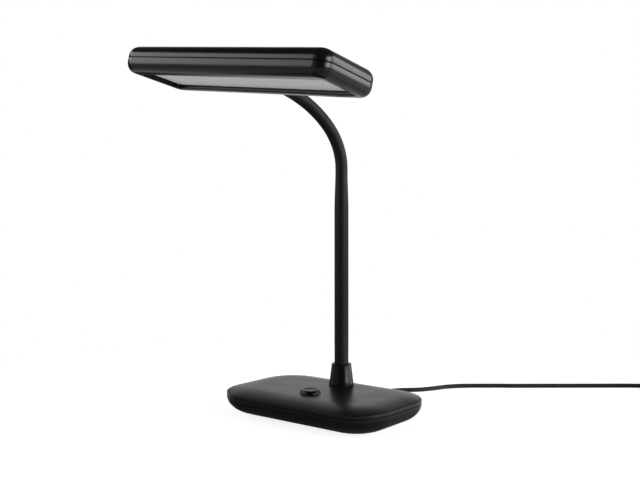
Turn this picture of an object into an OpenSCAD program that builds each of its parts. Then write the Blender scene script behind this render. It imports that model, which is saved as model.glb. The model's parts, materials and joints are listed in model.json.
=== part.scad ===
// Gooseneck desk lamp: a flat light head on a flexible neck, a weighted base and a push button.
// Millimetres. +Z is up, the origin is on the table under the centre of the base, and the head
// reaches towards -Y.

/* [Base] */
// Length of the base
base_len = 180; // [170:1:220]
// Depth of the base
base_dep = 114; // [108:1:140]
// Corner radius of the base, seen from above
base_corner = 38; // [35:1:46]
// Height of the top of the base
base_height = 25.7; // [25:0.1:32]
// Height of the seam between the two shells
base_seam_z = 18.5; // [17:0.1:20]
// Height of the upright edge above the seam
base_edge = 2.6; // [1.5:0.1:4]
// How far the underside curves in between the seam and the foot
dish_inset = 28; // [22:1:30]
// How far the dome of the top reaches in from its edge
dome_inset = 26; // [18:1:30]
// Wall thickness of the base shells
base_wall = 2.4; // [2:0.1:3]
// Thickness of the cast ballast
weight_thick = 8.2; // [6:0.1:9]
// Gap between the ballast and the lower shell's sides
weight_gap = 1.5; // [1.2:0.1:4]
// Margin between the foot's edge and the pad
pad_margin = 3; // [2:0.5:6]
// How far the pad stands below the lower shell
pad_proud = 1; // [0.5:0.1:1.5]
// How deep the pad sits in the lower shell
pad_recess = 1; // [0.6:0.1:1.2]

/* [Base fasteners] */
// Half the distance between the shell screws along X
post_x = 48; // [44:1:54]
// Half the distance between the shell screws along Y
post_y = 15; // [12:1:18]
// Diameter of the posts in the top cover
post_d = 8; // [7:0.5:9]
// Shank diameter of the shell screws
screw_d = 3; // [2.5:0.1:4]
// Length of the shell screws' shank
screw_len = 12; // [8:1:14]
// Half the distance between the ballast screws
weight_screw_x = 30; // [28:1:36]
// Shank diameter of the ballast screws
weight_screw_d = 4; // [3:0.5:5]

/* [Stem] */
// Distance from the base's rear edge to the stem's axis
stem_back = 27; // [25:0.5:32]
// Outer diameter of the steel stem tube
stem_d = 10; // [9.6:0.1:11]
// Height of the top of the stem tube
stem_top = 196; // [150:1:240]
// Diameter of the sleeve over the stem
stem_sleeve_d = 13.5; // [12.5:0.1:15]
// Diameter of the flange at the foot of the stem
stem_flange_d = 17; // [16:0.5:18]
// Thickness of that flange
stem_flange_thick = 2; // [1.5:0.1:2.5]
// Width across the flats of the stem nut
stem_nut_flats = 16; // [14:0.5:19]
// Thickness of the stem nut
stem_nut_thick = 5; // [3:0.5:5]
// Diameter of the stem washer
stem_washer_d = 20; // [18:0.5:24]
// Height of the ferrule
ferrule_height = 20.3; // [16:0.1:30]
// Diameter of the ferrule's foot
ferrule_foot_d = 24; // [21:0.1:26]
// Diameter of the ferrule's top
ferrule_top_d = 19.1; // [16.5:0.1:20]

/* [Neck] */
// Height at which the sleeve's taper ends
taper_top_z = 227; // [205:1:230]
// Height at which the neck starts to bend
neck_start_z = 233; // [232:1:260]
// Distance between the neck's hinges
link_len = 15.5; // [14:0.5:20]
// How far the neck turns from upright to the head
neck_turn = 79; // [40:1:100]
// How much more the neck turns at its foot than on average, as a share
neck_early = 0.57; // [0:0.01:0.8]
// Direction of the bend, about the stem
neck_yaw = -21.7; // [-30:0.1:30]
// How far the upper neck turns sideways
neck_side = 25.8; // [-30:0.1:30]
// Diameter of the neck's silicone sleeve
neck_sleeve_d = 11.7; // [11:0.1:13]
// Diameter of the flexible metal core
core_d = 8; // [7:0.1:8.6]
// Diameter of the wire duct in the core
core_duct_d = 4.4; // [3:0.1:5]
// Distance between the core's windings
core_pitch = 2; // [1.6:0.1:3]

/* [Head] */
// Length of the head
head_len = 224; // [200:1:300]
// Depth of the head, front to back
head_dep = 78; // [74:1:100]
// Thickness of the head
head_thick = 24.5; // [24:0.1:30]
// Corner radius of the head, seen from above
head_corner = 12.6; // [12.2:0.1:18]
// How far the rounding of the head's top reaches in
head_top_inset = 12; // [6:0.5:12]
// Height of the rounding of the head's top
head_top_round = 9.5; // [5:0.5:9.5]
// How far the rounding of the head's underside reaches in
head_low_inset = 7.8; // [5:0.1:8.2]
// Height of the rounding of the head's underside
head_low_round = 9.5; // [5:0.5:9.5]
// Wall thickness of the head shells
head_wall = 2.2; // [1.8:0.1:2.4]
// Roll of the head about the neck
head_roll = -3.2; // [-20:0.1:20]
// Margin between the window and the head's front
window_margin_front = 16.5; // [12.5:0.1:18]
// Margin between the window and the head's rear
window_margin_rear = 13.2; // [12.5:0.1:18]
// Margin between the window and the head's ends
window_margin_x = 11; // [10.8:0.1:20]
// Corner radius of the window
window_corner = 4; // [2:0.5:8]
// Depth from the head's underside to the diffuser
window_recess = 4; // [3:0.1:5]
// Width of the step round the window's mouth
lip_width = 1.2; // [0.6:0.1:1.6]
// Depth of that step
lip_depth = 1.3; // [0.8:0.1:1.8]
// Thickness of the diffuser
diffuser_thick = 2; // [1.5:0.1:3]
// How far the diffuser lies on its ledge
diffuser_overlap = 2.4; // [1.5:0.1:2.6]

/* [Light] */
// Rows of light-emitting chips
led_rows = 3; // [2:1:3]
// Distance between chips in a row
led_pitch_x = 13; // [10:0.1:16]
// Distance between the rows
led_pitch_y = 13; // [10:0.1:13]
// Thickness of the board that carries the chips
led_board_thick = 1.6; // [1:0.1:2]
// Thickness of the folded carrier plate
plate_thick = 1.2; // [0.8:0.1:1.5]

/* [Switch] */
// Distance from the base's front edge to the button's axis
switch_front = 39; // [34:0.1:40]
// Diameter of the bezel
bezel_d = 19.6; // [18:0.1:22]
// How far the bezel stands above the cover
bezel_rise = 3.2; // [1.2:0.1:3.6]
// Diameter of the hole in the bezel
bezel_bore_d = 14.2; // [13:0.1:14.4]
// How far the button's rim stands above the bezel
button_rise = -0.2; // [-0.8:0.1:1]
// Travel of the button
button_travel = 1.2; // [0.6:0.1:1.4]
// Length of the driver board
board_len = 44; // [42:1:48]
// Depth of the driver board
board_dep = 26; // [25:1:30]

/* [Cord] */
// Diameter of the cord
cord_d = 4.5; // [4:0.1:5.5]
// Height at which the cord leaves the base
cord_exit_z = 10; // [9.5:0.5:11]
// Length of the strain relief outside the base
boot_len = 20; // [18:1:40]

/* [Clearances] */
// Gap round a piece that sits in another
fit_gap = 0.1; // [0.05:0.01:0.15]
// Gap between pieces that move past each other
move_gap = 0.3; // [0.25:0.01:0.4]
// Width of the seams between the shells
seam_gap = 0.6; // [0.3:0.1:0.8]

/* [Hidden] */
plan_fn = 48;   // facets of a full turn on the shells' corners
edge_steps = 7; // facets across a shell's rounded edge
round_fn = 64;  // facets of a full turn on round pieces

shell_black = "#26262a";
soft_black = "#1b1b1d";
steel = "#b9bcc0";
white = "#f2f2ef";

// Heights in the base, from the table up
floor_z = pad_proud + base_wall;
weight_top = floor_z + weight_thick;
stem_y = base_dep / 2 - stem_back;
switch_y = base_dep / 2 - switch_front;
dish_top = base_seam_z - seam_gap / 2;
cover_foot = base_seam_z + seam_gap / 2;
cover_under = base_height - base_wall;
boss_top = floor_z + 5;
boss_d = post_d + 2;
screw_head_d = 2 * screw_d;
screw_seat_z = boss_top - 2.6;
tongue_thick = 1.3;
tongue_rise = 1.8;
tongue_root = 4;

// Stack under the button, from the top down
barrel_d = bezel_bore_d + 2;
barrel_foot = cover_under - 1.3;
button_d = bezel_bore_d - 2 * move_gap;
button_top = base_height + bezel_rise + button_rise;
flange_top = barrel_foot - move_gap;
flange_thick = 1.2;
flange_d = bezel_bore_d + 1.4;
switch_top = flange_top - flange_thick - button_travel - move_gap;
switch_height = 4;
switch_side = 12;
plunger_d = 5;
plunger_bore_floor = switch_top - switch_height + 0.6;
board_top = switch_top - switch_height;
board_thick = 1.6;
board_screw_x = board_len / 2 - 4;
board_screw_d = 2.4;
board_post_d = 5.6;
weight_pocket = 2;

// Stem and ferrule
stem_foot = cover_under - 8;
stem_washer_thick = 1.2;
ferrule_bead = 0.5;
core_root = 20; // how far the core reaches down into the stem tube

// Neck: hinges evenly spaced along it
neck_hinges = 8;
side_hinge = 4;    // the lowest hinge with a share of the sideways turn
half_link = link_len / 2;
nose_r = neck_sleeve_d / 2 + 0.75; // spherical end of a link, about its hinge
cup_r = nose_r + move_gap;         // hollow that the next link's end turns in

// Head, measured from its centre
head_top_in = head_thick / 2 - head_wall;
head_rear_in = head_dep / 2 - head_wall;
ledge_z = -head_thick / 2 + window_recess;
diffuser_top = ledge_z + diffuser_thick;
window_x = head_len - 2 * window_margin_x;
window_y = head_dep - window_margin_front - window_margin_rear;
window_centre_y = (window_margin_front - window_margin_rear) / 2;
head_post_d = 6;
head_post_height = 2.4;
plate_top = head_top_in - head_post_height;
plate_under = plate_top - plate_thick;
board_under = plate_under - led_board_thick;
plate_x = window_x - 4;
plate_y = window_y + 6;
head_post_x = plate_x / 2 - 7;
head_post_y = plate_y / 2 - 4;
head_screw_d = 2.6;
led_columns = floor((window_x - 16) / led_pitch_x);
tray_wall = 1;
tray_top = board_under - 0.2;
tray_slope = 6;
chip_size = [3.5, 2.8, 0.8];
fitting_flange_d = 14;
fitting_flange_thick = 3;
fitting_nut_flats = 10;
fitting_nut_thick = 4;
tab_x = 24;
tab_low = 8;
tab_y = head_rear_in - fitting_flange_thick - plate_thick;
clip_x = 60;
clip_len = 8;

// Strain relief, cord, coil and plug. The cord's points and the coil's place are measured along
// Y from the tip of the strain relief, and up from the table
relief_flange_y = base_dep / 2 - 17; // inner end of its passage through the shell
relief_neck_d = 8;
relief_flange_d = 9.6;
relief_room = 20; // width of the notch in the ballast for that flange
boot_end_y = base_dep / 2 + boot_len;
cord_sides = 10;
coil_r = 26;      // to the middle of the turns
coil_width = 18;  // across the bundle
coil_height = 9.6;
coil_round = 3;
coil_centre = [237, 230];
plug_body = [16, 8, 22];
plug_round = 2.2;
plug_tail_len = 12;      // tapered tail that the cord comes out of
plug_front = plug_tail_len + plug_body[2];
plug_shell_size = [12, 4.5, 18];
plug_shell_wall = 0.3;
plug_shell_foot = plug_front - 6;
plug_tongue_thick = 1.8;
cord_run = [
    [0, 0, cord_exit_z], [0, 8, 9.6], [-1, 16, 8], [-3, 24, 5.6], [-5, 32, 3.5], [-6, 40, 2.4],
    [-6, 48, 2.3], [-2, 56, 2.3], [5, 63, 2.3], [12, 70, 2.3], [18, 79, 2.3], [23, 89, 2.3],
    [27, 99, 2.3], [33, 109, 2.3], [41, 118, 2.3], [50, 126, 2.3], [60, 134, 2.3], [70, 142, 2.3],
    [80, 149, 2.3], [90, 157, 2.3], [100, 165, 2.3], [110, 173, 2.3], [120, 181, 2.3],
    [130, 189, 2.3], [140, 197, 2.3], [150, 205, 2.3], [160, 213, 2.3], [170, 221, 2.3],
    [180, 229, 2.3], [190, 236, 2.3], [200, 244, 2.3], [206, 248, 2.3]];
cord_tail = [
    [268, 214, 6], [268, 204, 3.8], [268, 195, 2.4], [268, 185, 2.6], [268, 176, 3.8]];

// ---------- shapes shared by several pieces ----------

// Corner points of a rounded rectangle
function round_rect(x, y, r) = [
    for (q = [0 : 3], i = [0 : plan_fn / 4])
        let (a = 90 * q + 360 * i / plan_fn,
             sx = (q == 0 || q == 3) ? 1 : -1, sy = q < 2 ? 1 : -1)
        [sx * (x / 2 - r) + r * cos(a), sy * (y / 2 - r) + r * sin(a)]];

// Upright block with a rounded-rectangle plan
module block(x, y, r, z0, z1) {
    translate([0, 0, z0]) linear_extrude(z1 - z0) polygon(round_rect(x, y, r));
}

// Upright wall with a rounded-rectangle plan, between two insets from the outline
module wall_ring(x, y, r, inset0, inset1, z0, z1) {
    difference() {
        block(x - 2 * inset0, y - 2 * inset0, r - inset0, z0, z1);
        block(x - 2 * inset1, y - 2 * inset1, r - inset1, z0 - 1, z1 + 1);
    }
}

// Edge curves as [inset from the outline, height]: rounded below, and rounded above
function low_edge(inset, rise, z, last = 90) = [
    for (i = [0 : edge_steps]) let (t = last * i / edge_steps)
        [inset * (1 - sin(t)), z + rise * (1 - cos(t))]];
function top_edge(inset, rise, z) = [
    for (i = [0 : edge_steps]) let (t = 90 * i / edge_steps)
        [inset * (1 - cos(t)), z + rise * sin(t)]];

// Solid with a rounded-rectangle plan whose sides follow an edge curve
module slab(x, y, r, edge) {
    profile = concat([[0, edge[0][1]]], [for (p = edge) [r - p[0], p[1]]],
                     [[0, edge[len(edge) - 1][1]]]);
    hull() for (sx = [-1, 1], sy = [-1, 1])
        translate([sx * (x / 2 - r), sy * (y / 2 - r), 0])
            rotate_extrude($fn = plan_fn) polygon(profile);
}

module rod(d, z0, z1, fn = round_fn) {
    translate([0, 0, z0]) cylinder(d = d, h = z1 - z0, $fn = fn);
}

module hex(flats, z0, z1) {
    translate([0, 0, z0]) cylinder(d = flats / cos(30), h = z1 - z0, $fn = 6);
}

module box(size, centre) {
    translate(centre - size / 2) cube(size);
}

// Screw with its head's outer face at z 0 and its shank pointing up
module screw(head_d, head_h, d, shank) {
    rod(head_d, 0, head_h, 32);
    rod(d, head_h, head_h + shank, 32);
}

module at_stem() {
    translate([0, stem_y, 0]) children();
}

module at_switch() {
    translate([0, -switch_y, 0]) children();
}

module at_posts() {
    for (sx = [-1, 1], sy = [-1, 1]) translate([sx * post_x, sy * post_y, 0]) children();
}

// Round tube along a list of points
function unit(v) = v / norm(v);
function way(p, i) = unit(p[min(i + 1, len(p) - 1)] - p[max(i - 1, 0)]);
module tube(p, d, sides) {
    n = len(p);
    polyhedron(
        points = [for (i = [0 : n - 1])
            let (t = way(p, i), s = unit(cross(t, [0, 0, 1])), u = cross(s, t))
            for (k = [0 : sides - 1])
                p[i] + d / 2 * (cos(360 * k / sides) * s + sin(360 * k / sides) * u)],
        faces = concat(
            [[for (k = [sides - 1 : -1 : 0]) k]],
            [[for (k = [0 : sides - 1]) (n - 1) * sides + k]],
            [for (i = [0 : n - 2], k = [0 : sides - 1]) let (m = (k + 1) % sides)
                [i * sides + k, i * sides + m, (i + 1) * sides + m, (i + 1) * sides + k]]));
}

// ---------- base ----------

module dish(shrink, z) {
    slab(base_len - 2 * shrink, base_dep - 2 * shrink, base_corner - shrink,
         low_edge(dish_inset - shrink, dish_top - z, z));
}

module foot_plan(extra, z0, z1) {
    inset = dish_inset + pad_margin - extra;
    block(base_len - 2 * inset, base_dep - 2 * inset, base_corner - inset, z0, z1);
}

module base_lower_shell() color(shell_black) difference() {
    union() {
        difference() {
            dish(0, pad_proud);
            dish(base_wall, floor_z);
        }
        intersection() {
            dish(0, pad_proud);
            union() {
                at_posts() rod(boss_d, pad_proud, boss_top, 32);
                for (sx = [-1, 1]) translate([sx * weight_screw_x, 0, 0])
                    rod(2 * weight_screw_d, pad_proud, boss_top, 32);
                translate([0, relief_flange_y, cord_exit_z]) rotate([-90, 0, 0])
                    rod(relief_neck_d + 5, 0, base_dep / 2 - relief_flange_y, 32);
            }
        }
        wall_ring(base_len, base_dep, base_corner, base_wall - 0.6,
                  base_wall + fit_gap + tongue_thick, dish_top - tongue_root, dish_top);
        wall_ring(base_len, base_dep, base_corner, base_wall + fit_gap,
                  base_wall + fit_gap + tongue_thick, dish_top - 0.5, dish_top + tongue_rise);
    }
    foot_plan(fit_gap, 0, pad_proud + pad_recess);
    at_posts() {
        rod(screw_head_d + 0.6, 0, screw_seat_z, 32);
        rod(screw_d + 0.4, 0, boss_top + 1, 32);
    }
    for (sx = [-1, 1]) translate([sx * weight_screw_x, 0, 0])
        rod(weight_screw_d + 2 * fit_gap, floor_z, boss_top + 1, 32);
    translate([0, relief_flange_y - 1, cord_exit_z]) rotate([-90, 0, 0])
        rod(relief_neck_d + 2 * fit_gap, 0, base_dep / 2 - relief_flange_y + 2, 48);
}

module base_top_cover() color(shell_black) difference() {
    edge_top = base_seam_z + base_edge;
    union() {
        difference() {
            slab(base_len, base_dep, base_corner,
                 concat([[0, cover_foot]], top_edge(dome_inset, base_height - edge_top, edge_top)));
            slab(base_len - 2 * base_wall, base_dep - 2 * base_wall, base_corner - base_wall,
                 concat([[0, cover_foot - 1]],
                        top_edge(dome_inset - base_wall, cover_under - edge_top, edge_top)));
        }
        at_stem() {
            rod(ferrule_foot_d + 0.6, cover_under - 1, base_height);
            for (a = [45 : 90 : 315]) rotate(a)
                box([13, 1.6, 3], [stem_washer_d / 2 + 7.5, 0, cover_under - 1]);
        }
        at_posts() rod(post_d, boss_top + fit_gap, cover_under + 1, 32);
        for (sx = [-1, 1]) at_switch() translate([sx * board_screw_x, 0, 0])
            rod(board_post_d, board_top, cover_under + 1, 32);
    }
    at_stem() {
        rod(stem_d + 2 * fit_gap, 0, base_height + 1);
        rod(stem_washer_d + 0.6, 0, cover_under);
    }
    at_switch() rod(barrel_d + 2 * fit_gap, cover_under - 1, base_height + 1);
    at_posts() rod(screw_d + 2 * fit_gap, boss_top, boss_top + 10, 32);
    for (sx = [-1, 1]) at_switch() translate([sx * board_screw_x, 0, 0])
        rod(board_screw_d + 2 * fit_gap, board_top - 1, board_top + 5, 32);
}

module base_weight() color("#3b3b3d") difference() {
    rise = dish_top - floor_z;
    shrink = base_wall + weight_gap;
    slab(base_len - 2 * shrink, base_dep - 2 * shrink, base_corner - shrink,
         low_edge(dish_inset - base_wall, rise, floor_z, acos(1 - weight_thick / rise)));
    at_posts() rod(boss_d + 1, 0, weight_top + 1, 32);
    for (sx = [-1, 1]) translate([sx * weight_screw_x, 0, 0]) {
        rod(2 * weight_screw_d + 0.8, 0, boss_top + fit_gap, 32);
        rod(weight_screw_d + 0.5, 0, weight_top + 1, 32);
    }
    at_switch() box([board_len + 2, board_dep + 2, 2 * weight_pocket], [0, 0, weight_top]);
    translate([-relief_room / 2, relief_flange_y - 5, 0])
        cube([relief_room, base_dep / 2, base_height]);
}

module weight_screws() color(steel) for (sx = [-1, 1])
    translate([sx * weight_screw_x, 0, weight_top + 2.4]) mirror([0, 0, 1])
        screw(2 * weight_screw_d, 2.4, weight_screw_d, weight_top - floor_z - 1);

module base_screws() color(steel) at_posts()
    translate([0, 0, screw_seat_z - 2]) screw(screw_head_d, 2, screw_d, screw_len);

module base_pad() color("#141414") foot_plan(0, 0, pad_proud + pad_recess);

// ---------- stem ----------

module neck_ferrule() color(shell_black) at_stem() translate([0, 0, base_height]) {
    foot = ferrule_foot_d / 2;
    top = ferrule_top_d / 2;
    bore = stem_sleeve_d / 2 + fit_gap;
    pocket = stem_flange_d / 2 + fit_gap;
    pocket_top = stem_flange_thick + fit_gap;
    rotate_extrude($fn = round_fn) polygon([
        [pocket, 0], [foot - 0.3, 0], [foot, 0.3], [foot, 1.3], [foot - 0.3, 1.7],
        [foot - ferrule_bead, 2], [top - 0.35, ferrule_height - 2.2], [top, ferrule_height - 1.6],
        [top, ferrule_height - 0.5], [top - 0.5, ferrule_height], [bore + 0.3, ferrule_height],
        [bore, ferrule_height - 0.3], [bore, pocket_top], [pocket, pocket_top]]);
}

module stem_tube() color(steel) at_stem() difference() {
    union() {
        rod(stem_d, stem_foot, stem_top);
        rod(stem_flange_d, base_height, base_height + stem_flange_thick);
    }
    rod(core_d + 2 * fit_gap, stem_foot - 1, stem_top + 1);
}

module stem_washer() color(steel) at_stem() difference() {
    rod(stem_washer_d, cover_under - stem_washer_thick, cover_under);
    rod(stem_d + 2 * fit_gap, 0, base_height);
}

module stem_nut() color(steel) at_stem() difference() {
    z1 = cover_under - stem_washer_thick;
    hex(stem_nut_flats, z1 - stem_nut_thick, z1);
    rod(stem_d + 2 * fit_gap, 0, base_height);
}

// ---------- neck ----------

// Circle of radius r about height z, as points from radius a to radius b on its lower side
function cap(r, z, a, b) = [for (i = [0 : 4]) let (q = a + (b - a) * i / 4) [q, z - sqrt(r * r - q * q)]];

// Outline of a link between radii a and b: its end in the lower hinge, and its cup under the upper
function link_outline(a, b, upper) = concat(cap(nose_r, 0, a, b), cap(cup_r, upper, b, a));

// Grooves between the core's windings
module windings(z0, z1) {
    for (z = [z0 : core_pitch : z1])
        translate([0, 0, z]) rotate_extrude($fn = 40)
            polygon([[core_d / 2 - 0.35, 0], [core_d / 2 + 1, -0.5], [core_d / 2 + 1, 0.5]]);
}

// Turns at hinge k, forwards and sideways
function forward_turn(k) = neck_turn / neck_hinges
    * (1 + neck_early * (neck_hinges + 1 - 2 * k) / (neck_hinges - 1));
function side_turn(k) = k < side_hinge ? 0 : neck_side / (neck_hinges - side_hinge + 1);

module turned(k) {
    rotate([forward_turn(k), 0, 0]) rotate([0, side_turn(k), 0]) children();
}

// Puts a piece that is drawn upright on a hinge at the place of link k
module at_link(k) {
    if (k == 1)
        at_stem() translate([0, 0, neck_start_z + half_link]) rotate(neck_yaw) turned(1) children();
    else
        at_link(k - 1) translate([0, 0, link_len]) turned(k) children();
}

module stem_sleeve() color(soft_black) at_stem() {
    inner = stem_d / 2 + fit_gap;
    core = core_d / 2 + fit_gap;
    outer = stem_sleeve_d / 2;
    neck = neck_sleeve_d / 2;
    foot = base_height + stem_flange_thick + 2 * fit_gap;
    rotate_extrude($fn = round_fn) polygon(concat(
        [[core, stem_top + fit_gap], [inner, stem_top + fit_gap], [inner, foot], [outer, foot],
         [outer, stem_top], [neck, taper_top_z]],
        cap(cup_r, neck_start_z + half_link, neck, core)));
}

module neck_core_root() color(steel) at_stem() {
    hinge_z = neck_start_z + half_link;
    difference() {
        rotate_extrude($fn = 40) polygon(concat(
            [[core_duct_d / 2, stem_top - core_root], [core_d / 2, stem_top - core_root]],
            cap(cup_r, hinge_z, core_d / 2, core_duct_d / 2)));
        windings(stem_top + 1, hinge_z - cup_r - 0.5);
    }
}

module neck_core(k) color(steel) at_link(k) difference() {
    rotate_extrude($fn = 40) polygon(link_outline(core_duct_d / 2, core_d / 2, link_len));
    windings(-nose_r + 3, link_len - cup_r - 0.5);
}

module neck_sleeve(k) color(soft_black) at_link(k)
    rotate_extrude($fn = round_fn)
        polygon(link_outline(core_d / 2 + fit_gap, neck_sleeve_d / 2, link_len));

module end_piece(a, b) {
    rotate_extrude($fn = round_fn) polygon(concat(cap(nose_r, 0, a, b),
        [[b, half_link + head_wall], [a, half_link + head_wall]]));
}

module neck_core_end() color(steel) at_link(neck_hinges)
    end_piece(core_duct_d / 2, core_d / 2);

module neck_sleeve_end() color(soft_black) at_link(neck_hinges)
    end_piece(core_d / 2 + fit_gap, neck_sleeve_d / 2);

// ---------- head ----------

// Head frame: its centre is the origin and +Y is its rear face, where the neck enters
module at_head() {
    at_link(neck_hinges) translate([0, 0, half_link]) rotate([-90, 0, 0]) rotate([0, head_roll, 0])
        translate([0, -head_dep / 2, 0]) children();
}

// The same frame with the window's centre on its Z axis
module at_window() {
    at_head() translate([0, window_centre_y, 0]) children();
}

// Round piece along the neck's axis, between two distances in front of the head's rear face
module along_neck(d, y0, y1) {
    translate([0, y0, 0]) rotate([-90, 0, 0]) cylinder(d = d, h = y1 - y0, $fn = round_fn);
}

// Room for the neck through the rear wall and for its fitting behind it
module neck_entry() {
    along_neck(neck_sleeve_d + 2 * fit_gap, head_rear_in, head_dep / 2 + 1);
    along_neck(fitting_flange_d + 1, head_rear_in - 8, head_rear_in);
}

module at_head_posts() {
    for (sx = [-1, 0, 1], sy = [-1, 1])
        translate([sx * head_post_x, window_centre_y + sy * head_post_y, 0]) children();
}

module clips(grow) {
    reach = head_wall + fit_gap - 0.8;
    for (sx = [-1, 1], sy = [-1, 1])
        box([clip_len + 2 * grow, 1.2 + grow, 0.9 + 2 * grow],
            [sx * clip_x, sy * (head_dep / 2 - reach - 0.6 + grow / 2), 1.2]);
}

module head_top_shell() color(shell_black) at_head() difference() {
    round_z = head_thick / 2 - head_top_round;
    union() {
        difference() {
            slab(head_len, head_dep, head_corner,
                 concat([[0, seam_gap / 2]], top_edge(head_top_inset, head_top_round, round_z)));
            slab(head_len - 2 * head_wall, head_dep - 2 * head_wall, head_corner - head_wall,
                 concat([[0, -1]],
                        top_edge(head_top_inset - head_wall, head_top_round - head_wall, round_z)));
        }
        at_head_posts() rod(head_post_d, plate_top, head_top_in + 1, 32);
    }
    at_head_posts() rod(head_screw_d + 2 * fit_gap, plate_top - 1, plate_top + 3, 32);
    neck_entry();
    clips(0.2);
}

module head_bottom_shell() color(shell_black) at_head() difference() {
    foot = -head_thick / 2;
    low_z = foot + head_wall;
    union() {
        difference() {
            slab(head_len, head_dep, head_corner,
                 concat(low_edge(head_low_inset, head_low_round, foot), [[0, -seam_gap / 2]]));
            slab(head_len - 2 * head_wall, head_dep - 2 * head_wall, head_corner - head_wall,
                 concat(low_edge(head_low_inset - head_wall, head_low_round - head_wall, low_z),
                        [[0, 1]]));
        }
        translate([0, window_centre_y, 0])
            block(window_x + 5, window_y + 5, window_corner + 2.5, low_z - 1, ledge_z);
        wall_ring(head_len, head_dep, head_corner, head_wall - 0.6,
                  head_wall + fit_gap + tongue_thick, -3, -seam_gap / 2);
        wall_ring(head_len, head_dep, head_corner, head_wall + fit_gap,
                  head_wall + fit_gap + tongue_thick, -seam_gap / 2 - 0.5, tongue_rise);
        clips(0);
    }
    translate([0, window_centre_y, 0]) {
        block(window_x, window_y, window_corner, foot - 1, ledge_z + 1);
        block(window_x + 2 * lip_width, window_y + 2 * lip_width, window_corner + lip_width,
              foot - 1, foot + lip_depth);
    }
    neck_entry();
}

module head_diffuser() color(white) at_window()
    block(window_x + 2 * diffuser_overlap, window_y + 2 * diffuser_overlap,
          window_corner + diffuser_overlap, ledge_z, diffuser_top);

module tray_form(shrink, z0, z1) {
    x = window_x + 2 * diffuser_overlap - 2 * shrink;
    y = window_y + 2 * diffuser_overlap - 2 * shrink;
    hull() {
        box([x, y, 0.01], [0, 0, z0]);
        box([x - 2 * tray_slope, y - 2 * tray_slope, 0.01], [0, 0, z1]);
    }
}

module reflector_tray() color(white) at_window() difference() {
    tray_form(0, diffuser_top + 0.005, tray_top - 0.005);
    tray_form(tray_wall, diffuser_top - 0.2, tray_top - tray_wall);
    for (r = [0 : led_rows - 1])
        box([led_columns * led_pitch_x, chip_size[1] + 1.2, 3],
            [0, (r - (led_rows - 1) / 2) * led_pitch_y, tray_top]);
}

module led_board() color("#e9ece8") at_window()
    box([led_columns * led_pitch_x + 4, led_rows * led_pitch_y + 1, led_board_thick],
        [0, 0, board_under + led_board_thick / 2]);

module led_chips() color("#f4dc84") at_window()
    for (r = [0 : led_rows - 1], c = [0 : led_columns - 1])
        box(chip_size, [(c - (led_columns - 1) / 2) * led_pitch_x,
                        (r - (led_rows - 1) / 2) * led_pitch_y, board_under - chip_size[2] / 2]);

module carrier_plate() color("#c9ccd0") at_head() difference() {
    union() {
        box([plate_x, plate_y, plate_thick], [0, window_centre_y, plate_under + plate_thick / 2]);
        translate([-tab_x / 2, 0, plate_under]) cube([tab_x, tab_y + plate_thick, plate_thick]);
        translate([-tab_x / 2, tab_y, -tab_low]) cube([tab_x, plate_thick, plate_top + tab_low]);
    }
    at_head_posts() rod(head_screw_d + 2 * fit_gap, plate_under - 1, plate_top + 1, 32);
    along_neck(core_d + 2 * fit_gap, tab_y - 1, tab_y + plate_thick + 1);
}

module carrier_screws() color(steel) at_head() at_head_posts()
    translate([0, 0, plate_under - 1.4]) screw(5, 1.4, head_screw_d, plate_thick + 2.6);

module neck_end_fitting() color(steel) at_head() difference() {
    union() {
        along_neck(core_d, tab_y - fitting_nut_thick - 0.6, head_rear_in);
        along_neck(fitting_flange_d, head_rear_in - fitting_flange_thick, head_rear_in);
    }
    along_neck(core_duct_d, 0, head_rear_in + 1);
}

module neck_end_nut() color(steel) at_head() difference() {
    translate([0, tab_y - fitting_nut_thick, 0]) rotate([-90, 0, 0])
        hex(fitting_nut_flats, 0, fitting_nut_thick);
    along_neck(core_d + 2 * fit_gap, 0, head_rear_in);
}

// ---------- switch ----------

module switch_bezel() color(shell_black) at_switch() {
    inner = bezel_bore_d / 2;
    outer = bezel_d / 2;
    rim = inner + 1; // outer edge of the ring's top
    top = base_height + bezel_rise;
    rotate_extrude($fn = round_fn) polygon(concat(
        [[inner, barrel_foot], [barrel_d / 2, barrel_foot], [barrel_d / 2, base_height],
         [outer, base_height], [outer, base_height + 0.3]],
        [for (a = [30 : 15 : 90]) [rim - 0.5 + 0.5 * cos(a), top - 0.5 + 0.5 * sin(a)]],
        [[inner + 0.2, top], [inner, top - 0.2]]));
}

module switch_button() color("#202023") at_switch() {
    r = button_d / 2;
    rotate_extrude($fn = round_fn) polygon([
        [0, flange_top - flange_thick], [flange_d / 2, flange_top - flange_thick],
        [flange_d / 2, flange_top], [r, flange_top], [r, button_top - 0.5], [r - 0.2, button_top - 0.1],
        [r - 0.5, button_top], [r - 1, button_top], [r - 1.8, button_top - 0.2],
        [r - 3.4, button_top - 0.4], [0, button_top - 0.5]]);
}

module switch_plunger() color(white) at_switch()
    rod(plunger_d, plunger_bore_floor + button_travel + move_gap, flange_top - flange_thick, 40);

module switch_body() color("#2f2f33") at_switch() difference() {
    box([switch_side, switch_side, switch_height], [0, 0, board_top + switch_height / 2]);
    rod(plunger_d + 2 * move_gap, plunger_bore_floor, switch_top + 1, 40);
}

module driver_board() color("#1f6b3f") at_switch() difference() {
    box([board_len, board_dep, board_thick], [0, 0, board_top - board_thick / 2]);
    for (sx = [-1, 1]) translate([sx * board_screw_x, 0, 0])
        rod(board_screw_d + 2 * fit_gap, 0, board_top + 1, 32);
}

module board_parts() color("#55565c") at_switch() translate([0, 0, board_top]) {
    translate([12, 8.5, 0]) rod(5, 0, 5, 32);
    box([6, 6, 3.5], [-11, -8.5, 1.75]);
    box([5, 4, 1.2], [11, -8.5, 0.6]);
    box([9, 3.6, 4], [-8, board_dep / 2 - 2.2, 2]);
}

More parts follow.
